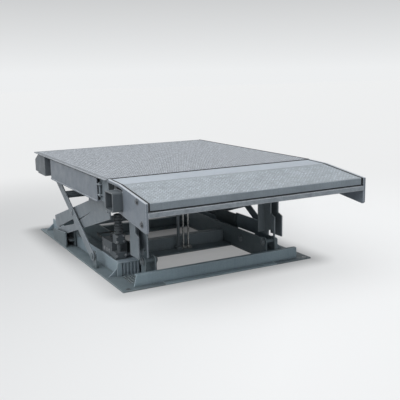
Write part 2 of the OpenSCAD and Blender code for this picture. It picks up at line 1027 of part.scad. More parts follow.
module rear_sill() {
  color(paint)
    cross_beam(rear_sill_y, sill_h, rear_sill_foot, sill_flange);
}

module middle_beam() {
  color(paint_dark)
    cross_beam(mid_beam_y, mid_beam_h, mid_beam_foot, mid_beam_flange);
}

bracket_t = 15;
rail_t = 12;
rail_top = pivot_z - roller_r - track_gap;

module bracket_plate(x0) {
  front = rear_y - bracket_fore;
  rear = rear_y + bracket_aft;
  plate_yz(x0, bracket_t)
    polygon([
      [front, sole_t],
      [rear, sole_t],
      [rear, sole_t + bracket_rear_h],
      [front, sole_t + bracket_h]
    ]);
}

// Open channel with a rail inside that an arm's roller runs on
module rear_bracket(side) {
  front = rear_y - bracket_fore;
  rear = rear_y + bracket_aft;
  rail_in = arm_roll_x - roller_w - side_gap;
  outer = arm_out + side_gap;
  color(paint)
    on_side(side) {
      bracket_plate(rail_in - bracket_t);
      bracket_plate(outer);
      slab([rail_in - 1, front, rail_top - rail_t], [arm_roll_x + axle_proud, rear, rail_top]);
    }
}

pivot_lug_t = 12;

// Lugs on the soles with the pins that the cross bars turn on
module front_pivots() {
  x0 = bar_in - side_gap - pivot_lug_t;
  color(paint)
    for (side = [-1, 1])
      on_side(side) {
        plate_yz(x0, pivot_lug_t)
          union() {
            translate([front_y, pivot_z])
              circle(bar_w / 2);
            translate([front_y - bar_w / 2, sole_t])
              square([bar_w, pivot_z - sole_t]);
          }
        rod_x(x0, bar_out + pin_play + 1, front_y, pivot_z, pin_r);
        rod_x(bar_out + pin_play, bar_out + pin_play + pin_head_t, front_y, pivot_z, pin_head_r);
      }
}

// POWER PACK AND RAMS

tank_gap = 5;
tank_x = tank_w / 2 + tank_gap + web_t - outer_web_x;
tank_front = 16;
tank_y = web_front + tank_front;
tank_rib_count = 6;
tank_rib_d = 12;
tank_rib_w = 15;
tank_lid_t = 8;
tank_top = sole_t + tank_h;

// Low tank with upright ribs on its front and a lid over them
module oil_tank() {
  pitch = (tank_w - tank_rib_w) / (tank_rib_count - 1);
  color(paint) {
    slab([tank_x - tank_w / 2, tank_y, sole_t], [tank_x + tank_w / 2, tank_y + tank_l, tank_top]);
    for (i = [0 : tank_rib_count - 1])
      translate([tank_x - tank_w / 2 + i * pitch, tank_y - tank_rib_d, sole_t])
        cube([tank_rib_w, tank_rib_d + 1, tank_h - tank_lid_t]);
    slab([tank_x - tank_w / 2, tank_y - tank_rib_d, tank_top - tank_lid_t],
      [tank_x + tank_w / 2, tank_y + 1, tank_top]);
  }
}

motor_side = 36;
motor_back = 124;
motor_x = tank_x - motor_side;
motor_y = tank_y + motor_back;
pump_base_w = 104;
pump_base_h = 62;
pump_neck_r = 20;
pump_neck_h = 78;
pump_w = 82;
pump_h = 82;
filler_r = 13;

// Pump on a foot and a neck, with the finned motor upright on it
core_part = 0.72;
fin_lead = 0.3;

module pump_motor() {
  core_r = core_part * motor_r;
  pitch = motor_h / fin_count;
  pump_z = tank_top + pump_base_h + pump_neck_h;
  fin_base = pump_z + pump_h;
  color(paint_dark)
    translate([motor_x, motor_y, 0]) {
      slab([-pump_base_w / 2, -pump_w / 2, tank_top], [pump_base_w / 2, pump_w / 2, tank_top + pump_base_h]);
      translate([0, 0, tank_top + pump_base_h - 1])
        cylinder(h = pump_neck_h + 2, r = pump_neck_r);
      slab([-pump_w / 2, -pump_w / 2, pump_z], [pump_w / 2, pump_w / 2, fin_base]);
      translate([0, 0, fin_base - 1])
        cylinder(h = motor_h + 1, r = core_r);
      for (i = [0 : fin_count - 1])
        translate([0, 0, fin_base + (i + fin_lead) * pitch])
          cylinder(h = pitch / 2, r = motor_r);
      rod_x(pump_base_w / 2 - 1, pump_base_w, -pump_w / 4, tank_top + pump_base_h / 2, filler_r);
    }
}

valve_w = 140;
valve_l = 240;
valve_h = 132;
valve_in = 6;
valve_pin_h = 40;
valve_pin_r = 13;

// Block of valves on the rear of the tank
module valve_block() {
  x0 = tank_x - tank_w / 2 + valve_in;
  y0 = tank_y + tank_l - valve_l;
  color(paint_dark) {
    slab([x0, y0, tank_top], [x0 + valve_w, y0 + valve_l, tank_top + valve_h]);
    for (i = [1 : 3])
      translate([x0 + valve_w / 2, y0 + i * valve_l / 4, tank_top + valve_h - 1])
        cylinder(h = valve_pin_h, r = valve_pin_r);
  }
}

ram_y = mid_beam_y - ram_fore;
ram_foot_z = sole_t;
ram_foot_h = 26;
ram_foot_w = 52;
rod_end_gap = 100;
rod_top = deck_under - rod_end_gap;
barrel_cap = 20;

// A rod on a square foot on the middle beam
module ram_rod(x, r) {
  translate([x, ram_y, ram_foot_z])
    cylinder(h = rod_top - ram_foot_z, r = r);
  slab([x - ram_foot_w / 2, ram_y - ram_foot_w / 2, ram_foot_z],
    [x + ram_foot_w / 2, ram_y + ram_foot_w / 2, ram_foot_z + ram_foot_h]);
}

module ram_rods() {
  color(steel)
    for (x = [ram_x, ram_x + ram_spacing])
      ram_rod(x, rod_r);
}

module guide_post() {
  color(paint_dark)
    ram_rod(ram_x - ram_spacing, post_r);
}

module ram_barrel(x, r) {
  translate([x, ram_y, deck_under - ram_barrel_l])
    difference() {
      cylinder(h = ram_barrel_l, r = ram_barrel_r);
      translate([0, 0, -1])
        cylinder(h = ram_barrel_l - barrel_cap + 1, r = r + run_clear);
    }
}

module ram_barrels() {
  color(paint_dark) {
    for (x = [ram_x, ram_x + ram_spacing])
      ram_barrel(x, rod_r);
    ram_barrel(ram_x - ram_spacing, post_r);
  }
}

deck_plate();
skirt(-1);  // left_skirt
skirt(1);  // right_skirt
rear_blocks();
rear_beam();
deck_stringers();
front_header();
header_plates();
leg(-1);  // left_leg
leg(1);  // right_leg
upper_tracks();
deck_lugs();
deck_knuckles();
ram_barrels();
lip_plate();
lip_knuckles();
lip_ribs();
lip_outriggers();
nose_bar();
cheek(-1);  // left_cheek
cheek(1);  // right_cheek
side_box(-1);  // left_side_box
side_box(1);  // right_side_box
lift_arm(-1);  // left_lift_arm
lift_arm(1);  // right_lift_arm
arm_tie_tube();
rollers(bar_roll_x, high_z);  // upper_rollers
cross_bar(-1);  // left_cross_bar
cross_bar(1);  // right_cross_bar
bar_tie_tube();
rollers(arm_roll_x, pivot_z);  // lower_rollers
sole(-1);  // left_sole
sole(1);  // right_sole
outer_webs();
inner_webs();
front_sill();
rear_sill();
middle_beam();
rear_bracket(-1);  // left_rear_bracket
rear_bracket(1);  // right_rear_bracket
foot_stand(-1);  // left_foot_stand
foot_stand(1);  // right_foot_stand
front_pivots();
oil_tank();
pump_motor();
valve_block();
ram_rods();
guide_post();
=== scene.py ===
import math

import bmesh
import bpy
from mathutils import Matrix, Vector


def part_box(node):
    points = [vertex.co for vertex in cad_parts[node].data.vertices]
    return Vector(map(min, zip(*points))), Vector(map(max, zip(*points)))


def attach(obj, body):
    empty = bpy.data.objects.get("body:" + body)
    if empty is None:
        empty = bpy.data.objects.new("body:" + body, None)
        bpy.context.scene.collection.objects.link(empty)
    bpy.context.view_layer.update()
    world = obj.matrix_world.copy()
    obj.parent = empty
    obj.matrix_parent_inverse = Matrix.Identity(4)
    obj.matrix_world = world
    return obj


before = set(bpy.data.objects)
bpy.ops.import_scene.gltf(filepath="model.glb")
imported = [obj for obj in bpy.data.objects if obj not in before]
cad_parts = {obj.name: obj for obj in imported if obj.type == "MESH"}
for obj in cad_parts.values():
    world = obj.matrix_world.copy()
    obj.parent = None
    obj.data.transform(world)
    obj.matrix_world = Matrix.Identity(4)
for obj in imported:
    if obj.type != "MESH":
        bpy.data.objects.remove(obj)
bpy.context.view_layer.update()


# BASE FRAME
# Two sole plates, outer and inner webs, a front and a rear sill and a middle beam, all cut from
# hot-rolled plate, welded, and sprayed with one coat of blue-grey paint that has gathered dust. That coat
# is given in copies: lighter ones on the outer webs, front sill and middle beam as painted light, and a
# darker one on the brackets and pivots as painted shade.

def noise_tex(tree, scale, detail=4.0, rough=0.55, stretch=(1, 1, 1)):
    """Noise on the piece's own coordinates, in metres."""
    coord = tree.nodes.new("ShaderNodeTexCoord")
    mapping = tree.nodes.new("ShaderNodeMapping")
    mapping.inputs["Scale"].default_value = stretch
    noise = tree.nodes.new("ShaderNodeTexNoise")
    noise.inputs["Scale"].default_value = scale
    noise.inputs["Detail"].default_value = detail
    noise.inputs["Roughness"].default_value = rough
    tree.links.new(coord.outputs["Object"], mapping.inputs["Vector"])
    tree.links.new(mapping.outputs["Vector"], noise.inputs["Vector"])
    return noise.outputs["Fac"]


def ramp_of(tree, value, stops):
    """A colour ramp through the stops, each a place and a colour."""
    ramp = tree.nodes.new("ShaderNodeValToRGB")
    while len(ramp.color_ramp.elements) < len(stops):
        ramp.color_ramp.elements.new(0.5)
    for element, (place, colour) in zip(ramp.color_ramp.elements, stops):
        element.position = place
        element.color = (*colour, 1)
    tree.links.new(value, ramp.inputs["Fac"])
    return ramp.outputs["Color"]


def rerange(tree, value, start, end, low=0.0, high=1.0, ease="LINEAR"):
    """Maps the stretch from start to end onto low to high."""
    span = tree.nodes.new("ShaderNodeMapRange")
    span.interpolation_type = ease
    for label, number in (("From Min", start), ("From Max", end), ("To Min", low), ("To Max", high)):
        span.inputs[label].default_value = number
    tree.links.new(value, span.inputs["Value"])
    return span.outputs["Result"]


def spread(tree, noise, low, high):
    """Stretches the middle of a noise to run from low to high."""
    return rerange(tree, noise, 0.3, 0.7, low, high)


def mix_colour(tree, kind, factor, a, b):
    """Mixes two colours, each fixed or a socket."""
    mix = tree.nodes.new("ShaderNodeMix")
    mix.data_type = "RGBA"
    mix.blend_type = kind
    if isinstance(factor, float):
        mix.inputs[0].default_value = factor
    else:
        tree.links.new(factor, mix.inputs[0])
    for socket, value in ((mix.inputs[6], a), (mix.inputs[7], b)):
        if isinstance(value, tuple):
            socket.default_value = (*value, 1)
        else:
            tree.links.new(value, socket)
    return mix.outputs[2]


def bump_from(tree, value, strength, depth, normal=None):
    """A normal bumped by a height, on top of another normal where one is given."""
    bump = tree.nodes.new("ShaderNodeBump")
    bump.inputs["Strength"].default_value = strength
    bump.inputs["Distance"].default_value = depth
    tree.links.new(value, bump.inputs["Height"])
    if normal is not None:
        tree.links.new(normal, bump.inputs["Normal"])
    return bump.outputs["Normal"]


def sprayed_paint(name, colour, rough, dust=0.2, mottle=0.09, wear_and_highlight=0.75, lit_and_trodden_top=None,
                  edge_r=0.008, grain=2.6):
    """Sprayed paint on plate: a cloudy tone with speckle and streaks, dust on level faces, painted shade in
    corners, and rubbed edges lightened as wear and as painted highlight. Where a lit and trodden top colour
    is given, level faces take it: a trodden tone, and where it is lighter, painted light from above."""
    mat = bpy.data.materials.new(name)
    mat.use_nodes = True
    tree = mat.node_tree
    shader = tree.nodes["Principled BSDF"]
    shader.inputs["Specular IOR Level"].default_value = 0.32

    def patchy(tone):
        """The two stops of a tone that varies by the mottle."""
        return [(0.3, tuple(c * (1 - mottle) for c in tone)), (0.7, tuple(c * (1 + mottle) for c in tone))]

    cloud = ramp_of(tree, noise_tex(tree, grain, 6.0, 0.62), patchy(colour))
    speck = ramp_of(tree, noise_tex(tree, 95.0, 2.0), [(0.35, (0.82,) * 3), (0.65, (1.0,) * 3)])
    toned = mix_colour(tree, "MULTIPLY", 0.55, cloud, speck)
    runs = noise_tex(tree, 14.0, 3.0, 0.5, (6, 6, 0.35))
    streak = ramp_of(tree, runs, [(0.42, (1.0,) * 3), (0.72, (0.8,) * 3)])
    toned = mix_colour(tree, "MULTIPLY", 0.35, toned, streak)
    geometry = tree.nodes.new("ShaderNodeNewGeometry")
    axes = tree.nodes.new("ShaderNodeSeparateXYZ")
    tree.links.new(geometry.outputs["Normal"], axes.inputs[0])
    # level faces take the lit and trodden top colour: painted light from above where it is lighter than the
    # paint
    if lit_and_trodden_top:
        upward = rerange(tree, axes.outputs["Z"], 0.75, 0.95)
        lit_and_trodden_tone = ramp_of(tree, noise_tex(tree, grain * 1.3, 7.0, 0.7), patchy(lit_and_trodden_top))
        lit_and_trodden_speckled = mix_colour(tree, "MULTIPLY", 0.35, lit_and_trodden_tone, speck)
        toned = mix_colour(tree, "MIX", upward, toned, lit_and_trodden_speckled)
    level = tree.nodes.new("ShaderNodeMath")
    level.operation = "MULTIPLY"
    level.use_clamp = True
    tree.links.new(axes.outputs["Z"], level.inputs[0])
    tree.links.new(spread(tree, noise_tex(tree, 7.0, 5.0), dust * 0.3, dust * 1.4), level.inputs[1])
    dusty = tuple(0.6 * c + 0.10 for c in colour)
    toned = mix_colour(tree, "MIX", level.outputs[0], toned, dusty)
    # painted shade: the colour darkens where nearby faces close a spot in, in corners and between parts
    nook = tree.nodes.new("ShaderNodeAmbientOcclusion")
    nook.samples = 6
    nook.inputs["Distance"].default_value = 0.045
    painted_corner_shade = rerange(tree, nook.outputs["AO"], 0.30, 0.80, 0.62, 0.0)
    toned = mix_colour(tree, "MIX", painted_corner_shade, toned, tuple(0.22 * c for c in colour))
    # edges are lightened: partly rubbed wear, partly painted highlight where an edge would catch the light
    bevel = tree.nodes.new("ShaderNodeBevel")
    bevel.samples = 6
    bevel.inputs["Radius"].default_value = edge_r
    turn = tree.nodes.new("ShaderNodeVectorMath")
    turn.operation = "DOT_PRODUCT"
    tree.links.new(bevel.outputs["Normal"], turn.inputs[0])
    tree.links.new(geometry.outputs["Normal"], turn.inputs[1])
    rubbed_highlit_edge = rerange(tree, turn.outputs["Value"], 0.98, 0.80, 0.0, wear_and_highlight)
    rubbed_highlit_tone = tuple(min(0.70, 1.5 * c + 0.16) for c in colour)
    toned = mix_colour(tree, "MIX", rubbed_highlit_edge, toned, rubbed_highlit_tone)
    tree.links.new(toned, shader.inputs["Base Color"])
    gloss = spread(tree, noise_tex(tree, 11.0, 4.0), rough - 0.07, rough + 0.12)
    tree.links.new(gloss, shader.inputs["Roughness"])
    peel = bump_from(tree, noise_tex(tree, 260.0, 2.0), 0.12, 0.0006, bevel.outputs["Normal"])
    tree.links.new(peel, shader.inputs["Normal"])
    return mat


def dress(material, *names):
    """Gives nodes of the frame a material."""
    for name in names:
        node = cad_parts[name]
        if not node.material_slots:
            node.data.materials.append(material)
        for place in node.material_slots:
            place.material = material


base_paint = sprayed_paint("base_paint", (0.148, 0.188, 0.208), 0.52, 0.06)
dress(base_paint, "left_sole", "right_sole", "inner_webs", "rear_sill", "left_foot_stand", "right_foot_stand")
# darker copy of the frame paint on brackets and pivots: painted shade
shaded_bracket_paint = sprayed_paint("shaded_bracket_paint", (0.112, 0.142, 0.158), 0.52, 0.06)
dress(shaded_bracket_paint, "left_rear_bracket", "right_rear_bracket", "front_pivots")
# lighter copies of the frame paint on webs, front sill and middle beam: painted light
lit_web_paint = sprayed_paint("lit_web_paint", (0.245, 0.308, 0.348), 0.52, 0.06)
dress(lit_web_paint, "outer_webs")
lit_sill_paint = sprayed_paint("lit_sill_paint", (0.243, 0.318, 0.362), 0.52, 0.06)
dress(lit_sill_paint, "front_sill")
lit_beam_paint = sprayed_paint("lit_beam_paint", (0.250, 0.305, 0.338), 0.55, 0.12)
dress(lit_beam_paint, "middle_beam")


# WELDS OF THE BASE
# Fillet welds along the feet of the webs, gussets, brackets and lugs: laid by hand in short ripples,
# and painted over with the frame.

def keep_piece(name, mesh_maker, material, body, smooth=True):
    """Turns a finished bmesh into an object that rides on a body of the frame."""
    mesh = bpy.data.meshes.new(name)
    mesh_maker.to_mesh(mesh)
    mesh_maker.free()
    mesh.materials.append(material)
    for face in mesh.polygons:
        face.use_smooth = smooth
    piece = bpy.data.objects.new(name, mesh)
    bpy.context.scene.collection.objects.link(piece)
    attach(piece, body)
    return piece


def weld_bead(bm, start, end, r=0.0045, pitch=0.009):
    """A round bead with ripples from one point to another."""
    ripple_depth, most_ripples = 0.16, 90
    start, end = Vector(start), Vector(end)
    run = end - start
    axis = run.normalized()
    bead = bmesh.new()
    turn = run.to_track_quat("Z", "Y").to_matrix().to_4x4()
    bmesh.ops.create_cone(bead, segments=6, radius1=r, radius2=r, depth=run.length, cap_ends=True,
                          matrix=Matrix.Translation((start + end) / 2) @ turn)
    along = [e for e in bead.edges
             if abs((e.verts[0].co - e.verts[1].co).normalized().dot(axis)) > 0.99]
    ripples = min(most_ripples, max(2, int(2 * run.length / pitch)))
    bmesh.ops.subdivide_edges(bead, edges=along, cuts=ripples, use_grid_fill=True)
    for v in bead.verts:
        t = (v.co - start).dot(axis)
        foot = start + axis * t
        v.co = foot + (v.co - foot) * (1 + ripple_depth * math.cos(2 * math.pi * t / pitch))
    joined = bpy.data.meshes.new("bead")
    bead.to_mesh(joined)
    bead.free()
    bm.from_mesh(joined)
    bpy.data.meshes.remove(joined)


base_welds = bmesh.new()
web_low, web_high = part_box("outer_webs")
web_face, web_runs = 0.810, ((web_low.y + 0.10, 0.58), (0.70, 1.40))
lug_feet, lug_weld_r = (0.552, 0.647), 0.004
gusset_from, gusset_to, gusset_weld_r = 0.815, 0.885, 0.0035
gusset_faces = (web_high.y - 0.022, web_high.y - 0.014)
for side in (-1, 1):
    name = "left" if side < 0 else "right"
    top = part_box(name + "_sole")[1].z
    stand_low, stand_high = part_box(name + "_foot_stand")
    bracket_low, bracket_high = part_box(name + "_rear_bracket")
    x = side * web_face
    for run_from, run_to in web_runs:
        weld_bead(base_welds, (x, run_from, top), (x, run_to, top))
    x = side * max(abs(bracket_low.x), abs(bracket_high.x))
    weld_bead(base_welds, (x, bracket_low.y, top), (x, bracket_high.y, top))
    for foot in lug_feet:
        x = side * foot
        weld_bead(base_welds, (x, stand_low.y, top), (x, stand_high.y, top), lug_weld_r)
    for y in gusset_faces:
        weld_bead(base_welds, (side * gusset_from, y, top), (side * gusset_to, y, top), gusset_weld_r)
sill_half, sill_y = 0.54, -0.050
sill_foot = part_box("front_sill")[0].z + 0.012
weld_bead(base_welds, (-sill_half, sill_y, sill_foot), (sill_half, sill_y, sill_foot))
keep_piece("base_welds", base_welds, base_paint, "base")


# TRAY ENDS
# Between the outer and the inner web each sole makes a tray. A thin steel plate with a folded top
# closes it behind the rear bracket, welded to both webs.

def upright_plate(bm, middle, turn, size_x, size_y, folded):
    """A plate turned upright, sized before the turn, with its top edge folded by the vector given."""
    made = bmesh.ops.create_grid(bm, x_segments=1, y_segments=1, size=0.5,
                                 matrix=Matrix.Translation(middle) @ turn @
                                 Matrix.Diagonal((size_x, size_y, 1, 1)))["verts"]
    crest = max(v.co.z for v in made) - 0.001
    rim = [e for e in {e for v in made for e in v.link_edges} if min(v.co.z for v in e.verts) > crest]
    grown = bmesh.ops.extrude_edge_only(bm, edges=rim)["geom"]
    fold = [g for g in grown if isinstance(g, bmesh.types.BMVert)]
    bmesh.ops.translate(bm, verts=fold, vec=folded)


tray_ends = bmesh.new()
tray_mid, tray_w, tray_y, tray_top = 0.681, 0.238, 2.080, 0.190
tray_fold, tray_t = 0.030, 0.004
tray_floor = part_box("left_sole")[1].z
facing_front = Matrix.Rotation(math.pi / 2, 4, "X")
for side in (-1, 1):
    upright_plate(tray_ends, (side * tray_mid, tray_y, (tray_top + tray_floor) / 2), facing_front,
                  tray_w, tray_top - tray_floor, (0, tray_fold, 0))
bmesh.ops.solidify(tray_ends, geom=tray_ends.faces[:], thickness=tray_t)
bmesh.ops.recalc_face_normals(tray_ends, faces=tray_ends.faces)
keep_piece("tray_ends", tray_ends, base_paint, "base", smooth=False)


# ROLLER GUARD
# A thin bare plate of sheet steel, fixed inside the right outer web behind its raised part. Its top
# edge is folded over, and it takes the brackets' darker copy of the frame paint, which paints in shade.

guard = bmesh.new()
guard_at, guard_h, guard_l, guard_fold, guard_t = (0.7955, 1.205, 0.168), 0.136, 0.420, 0.012, 0.003
facing_side = Matrix.Rotation(math.pi / 2, 4, "Y")
upright_plate(guard, guard_at, facing_side, guard_h, guard_l, (-guard_fold, 0, 0))
bmesh.ops.solidify(guard, geom=guard.faces[:], thickness=guard_t)
bmesh.ops.recalc_face_normals(guard, faces=guard.faces)
keep_piece("roller_guard", guard, shaded_bracket_paint, "base", smooth=False)


# ANCHOR WASHERS
# Round washers punched from plain steel. One lies over each of the four anchor holes in the soles, as
# fitted before the bolts go in.

def bright_steel(name, colour, rough, ring_scale):
    """Turned or rolled steel: fine tool rings, smudges, and a slight tarnish."""
    mat = bpy.data.materials.new(name)
    mat.use_nodes = True
    tree = mat.node_tree
    shader = tree.nodes["Principled BSDF"]
    shader.inputs["Metallic"].default_value = 1.0
    smudge = noise_tex(tree, 18.0, 5.0)
    tarnish = ramp_of(tree, smudge, [(0.3, tuple(c * 0.72 for c in colour)), (0.7, colour)])
    tree.links.new(tarnish, shader.inputs["Base Color"])
    gloss = spread(tree, noise_tex(tree, 30.0, 4.0), rough - 0.06, rough + 0.14)
    tree.links.new(gloss, shader.inputs["Roughness"])
    rings = noise_tex(tree, ring_scale, 2.0, 0.5, (1, 1, 6))
    tree.links.new(bump_from(tree, rings, 0.10, 0.0003), shader.inputs["Normal"])
    return mat


plain_steel = bright_steel("plain_steel", (0.42, 0.44, 0.46), 0.38, 160.0)


def ring_washer(bm, centre, axis, r_out, r_in, t):
    """A flat washer, spun round its axis from a square-edged section."""
    axis = Vector(axis).normalized()
    side = axis.orthogonal().normalized()
    c = Vector(centre)
    corners = [c + side * r_in, c + side * r_out, c + side * r_out + axis * t, c + side * r_in + axis * t]
    verts = [bm.verts.new(p) for p in corners]
    edges = [bm.edges.new((verts[i], verts[(i + 1) % 4])) for i in range(4)]
    bmesh.ops.spin(bm, geom=verts + edges, cent=c, axis=axis, dvec=(0, 0, 0), angle=2 * math.pi,
                   steps=28, use_merge=True)


anchor_washers = bmesh.new()
sole_low, sole_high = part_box("left_sole")
anchor_x, anchor_inset = 0.875, 0.030
washer_r, washer_hole_r, washer_t = 0.020, 0.0112, 0.003
for side in (-1, 1):
    for y in (sole_low.y + anchor_inset, sole_high.y - anchor_inset):
        ring_washer(anchor_washers, (side * anchor_x, y, sole_high.z), (0, 0, 1),
                    washer_r, washer_hole_r, washer_t)
bmesh.ops.recalc_face_normals(anchor_washers, faces=anchor_washers.faces)
keep_piece("anchor_washers", anchor_washers, plain_steel, "base", smooth=False)


# POWER PACK
# A low ribbed oil tank, a cast pump under an upright finned motor, and a block of valves. Pump, motor
# and valves are sprayed dark; they carry plain steel plugs and bolts and a ribbed filler cap.

tank_paint = sprayed_paint("tank_paint", (0.235, 0.292, 0.338), 0.48, 0.15)
motor_paint = sprayed_paint("motor_paint", (0.086, 0.102, 0.114), 0.40, dust=0.20, mottle=0.14, wear_and_highlight=1.0,
                            edge_r=0.004)
dress(tank_paint, "oil_tank")
dress(motor_paint, "pump_motor", "valve_block")


def hex_head(bm, centre, axis, across, height, washer=True):
    """A hexagon head with chamfered corners, on a washer unless told otherwise."""
    axis = Vector(axis).normalized()
    c = Vector(centre)
    turn = axis.to_track_quat("Z", "Y").to_matrix().to_4x4()
    lift = 0.0
    if washer:
        lift, washer_r = 0.0025, across * 0.95
        ring = bmesh.ops.create_cone(bm, segments=24, radius1=washer_r, radius2=washer_r, depth=lift,
                                     cap_ends=True,
                                     matrix=Matrix.Translation(c + axis * lift / 2) @ turn)["verts"]
        rim = [e for e in {e for v in ring for e in v.link_edges}
               if min((v.co - c).dot(axis) for v in e.verts) > lift * 0.9]
        bmesh.ops.bevel(bm, geom=rim, offset=0.0008, affect="EDGES", segments=1, profile=0.5, material=-1)
    corner_r = across * 0.577
    head = bmesh.ops.create_cone(bm, segments=6, radius1=corner_r, radius2=corner_r, depth=height,
                                 cap_ends=True,
                                 matrix=Matrix.Translation(c + axis * (lift + height / 2)) @ turn)["verts"]
    top = [e for e in {e for v in head for e in v.link_edges}
           if min((v.co - c).dot(axis) for v in e.verts) > lift + height * 0.9]
    bmesh.ops.bevel(bm, geom=top, offset=across * 0.06, affect="EDGES", segments=2, profile=0.5, material=-1)


valve_low, valve_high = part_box("valve_block")
pack_plugs = bmesh.new()
valve_mid, plug_w = (valve_low.x + valve_high.x) / 2, 0.020
for i in (1, 2, 3):
    y = valve_low.y + i * (valve_high.y - valve_low.y) / 4
    hex_head(pack_plugs, (valve_mid, y, valve_high.z - 0.012), (0, 0, 1), plug_w, height=0.010, washer=False)
    hex_head(pack_plugs, (valve_low.x, y, valve_low.z + 0.045), (-1, 0, 0), plug_w, height=0.004)
keep_piece("pack_plugs", pack_plugs, plain_steel, "base", smooth=False)

pump_low, pump_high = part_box("pump_motor")
motor_x, motor_y = pump_high.x - 0.104, (pump_low.y + pump_high.y) / 2
pump_bolts = bmesh.new()
motor_bolt_rows, pump_bolt_z, frontward = (0.285, 0.335), 0.160, (0, -1, 0)
for dx in (-0.032, 0.032):
    for z in motor_bolt_rows:
        hex_head(pump_bolts, (motor_x + dx, pump_low.y, z), frontward, across=0.012, height=0.006)
    hex_head(pump_bolts, (motor_x + dx * 1.3, pump_low.y, pump_bolt_z), frontward,
             across=0.013, height=0.007)
keep_piece("pump_bolts", pump_bolts, plain_steel, "base", smooth=False)

filler_cap = bmesh.new()
cap_at, cap_r, cap_h = (pump_high.x - 0.006, motor_y - 0.0205, 0.159), 0.019, 0.018
bmesh.ops.create_cone(filler_cap, segments=24, radius1=cap_r, radius2=cap_r, depth=cap_h, cap_ends=True,
                      matrix=Matrix.Translation(cap_at) @ facing_side)
ribs = [f for f in filler_cap.faces if abs(f.normal.x) < 0.5][::2]
bmesh.ops.inset_individual(filler_cap, faces=ribs, thickness=0.0008, depth=-0.0012)
keep_piece("filler_cap", filler_cap, motor_paint, "base", smooth=False)


# PIPES OF THE POWER PACK
# Steel pipes bent cold and sprayed dark: three lead from the valve block to the inner web, and a
# wider one loops up from the tank to the block. They end in plain steel unions.

pipe_paint = sprayed_paint("pipe_paint", (0.052, 0.058, 0.056), 0.45, 0.25, 0.2, 0.4)


def bent_pipe(bm, start, heading, moves, r):
    """A pipe of straight runs, given by length, and bends, given by axis, degrees and radius."""
    at, ahead = Vector(start), Vector(heading)
    facing = ahead.to_track_quat("Z", "Y").to_matrix().to_4x4()
    ring = bmesh.ops.create_circle(bm, cap_ends=False, segments=10, radius=r,
                                   matrix=Matrix.Translation(at) @ facing)["verts"]
    edges = list({e for v in ring for e in v.link_edges})
    for move in moves:
        if isinstance(move, float):
            grown = bmesh.ops.extrude_edge_only(bm, edges=edges)["geom"]
            front = [g for g in grown if isinstance(g, bmesh.types.BMVert)]
            bmesh.ops.translate(bm, verts=front, vec=ahead * move)
            at = at + ahead * move
        else:
            axis, angle, bend_r = Vector(move[0]), math.radians(move[1]), move[2]
            centre = at + axis.cross(ahead) * bend_r
            grown = bmesh.ops.spin(bm, geom=edges, cent=centre, axis=axis, dvec=(0, 0, 0), angle=angle,
                                   steps=7, use_merge=False, use_duplicate=False)["geom_last"]
            turn = Matrix.Rotation(angle, 3, axis)
            at, ahead = centre + turn @ (at - centre), turn @ ahead
        edges = [g for g in grown if isinstance(g, bmesh.types.BMEdge)]
    return at


web_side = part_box("inner_webs")[0].x
pack_pipes = bmesh.new()
pipe_unions = bmesh.new()
sideways, backward, downward = (1, 0, 0), (0, 1, 0), (0, 0, -1)
pipe_r, hump, hump_r, hump_run, corner_r = 0.0065, 32, 0.050, 0.020, 0.045
union_w, union_h = 0.020, 0.014
for x, z, run in ((-0.765, 0.236, 0.150), (-0.725, 0.196, 0.085), (-0.685, 0.160, 0.030)):
    hex_head(pipe_unions, (x, valve_high.y, z), backward, union_w, union_h, washer=False)
    end = bent_pipe(pack_pipes, (x, valve_high.y, z), backward,
                    [run, (sideways, hump, hump_r), hump_run, (sideways, -2 * hump, hump_r), hump_run,
                     (sideways, hump, hump_r), (downward, 90, corner_r), web_side - x - corner_r], pipe_r)
    hex_head(pipe_unions, end, (-1, 0, 0), union_w, union_h, washer=False)
loop_x, loop_low, loop_high = -0.745, 0.070, 0.170
loop_pipe_r, loop_bend_r, loop_reach, loop_rise = 0.009, 0.035, 0.040, 0.030
for z in (loop_low, loop_high):
    hex_head(pipe_unions, (loop_x, valve_high.y, z), backward, across=0.026, height=0.016, washer=False)
bent_pipe(pack_pipes, (loop_x, valve_high.y, loop_low), backward,
          [loop_reach, (sideways, 90, loop_bend_r), loop_rise, (sideways, 90, loop_bend_r), loop_reach],
          loop_pipe_r)
bmesh.ops.recalc_face_normals(pack_pipes, faces=pack_pipes.faces)
keep_piece("pack_pipes", pack_pipes, pipe_paint, "base")
keep_piece("pipe_unions", pipe_unions, plain_steel, "base", smooth=False)


# LIFT RAMS
# Two slim hard-chromed rods and a painted guide post stand on the foot of the middle beam and slide
# in barrels under the deck; the barrels end in turned gland nuts.

rod_chrome = bright_steel("rod_chrome", (0.50, 0.51, 0.50), 0.24, 220.0)
dress(rod_chrome, "ram_rods")
# the underframe's paint, made dark as painted shade under the deck, also on the ram barrels
under_paint = sprayed_paint("under_paint", (0.050, 0.058, 0.064), 0.60, 0.05, 0.09, 0.2)
dress(under_paint, "ram_barrels")
post_paint = sprayed_paint("post_paint", (0.200, 0.232, 0.255), 0.50, 0.08)
dress(post_paint, "guide_post")

barrel_low, barrel_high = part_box("ram_barrels")
gland_nuts = bmesh.new()
ram_y, nut_r, nut_h = (barrel_low.y + barrel_high.y) / 2, 0.0235, 0.014
for x, bore_r in ((0.068, 0.0108), (0.122, 0.0108), (0.014, 0.0158)):
    ring_washer(gland_nuts, (x, ram_y, barrel_low.z - nut_h), (0, 0, 1), nut_r, bore_r, nut_h)
bmesh.ops.recalc_face_normals(gland_nuts, faces=gland_nuts.faces)
keep_piece("gland_nuts", gland_nuts, plain_steel, "platform", smooth=False)


# SCISSOR
# Wide arms with a teardrop window and a slit, and thin flat cross bars, flame-cut from plate and
# painted; two tie tubes and turned steel rollers. Two hexagon bolts sit at each arm's front end.

